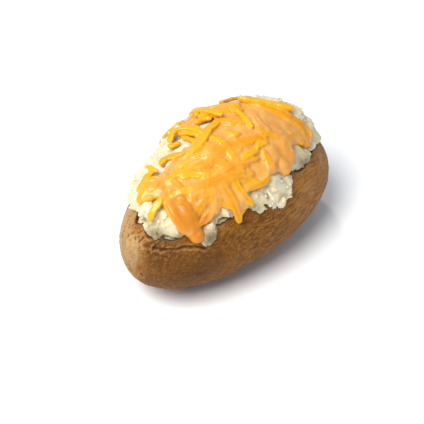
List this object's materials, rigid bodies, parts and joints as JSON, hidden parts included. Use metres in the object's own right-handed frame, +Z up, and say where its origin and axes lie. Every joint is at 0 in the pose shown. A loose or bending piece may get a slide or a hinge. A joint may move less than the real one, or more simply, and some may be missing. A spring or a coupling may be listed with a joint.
{
  "type": "baked potato",
  "caption": "Whole baked potato in its open brown jacket, heaped with fluffed pale flesh under melted cheese with shreds; rests on a small flat spot.",
  "frame": {"origin": "middle of the flat spot under the potato, on the floor", "axes": "+X along the potato towards its wider, blunter end, +Y across it, +Z up out of the opening"},
  "size_m": [0.1299, 0.0765, 0.0743],
  "materials": {
    "skin": "dry baked skin, fine netting and wrinkles, faint sheen",
    "flesh": "moist, craggy, slightly see-through at thin edges",
    "cheese": "soft melted gloss"
  },
  "bodies": {
    "root": {"jacket": "skin", "flesh": "flesh", "cheese": "cheese"}
  },
  "joints": []
}
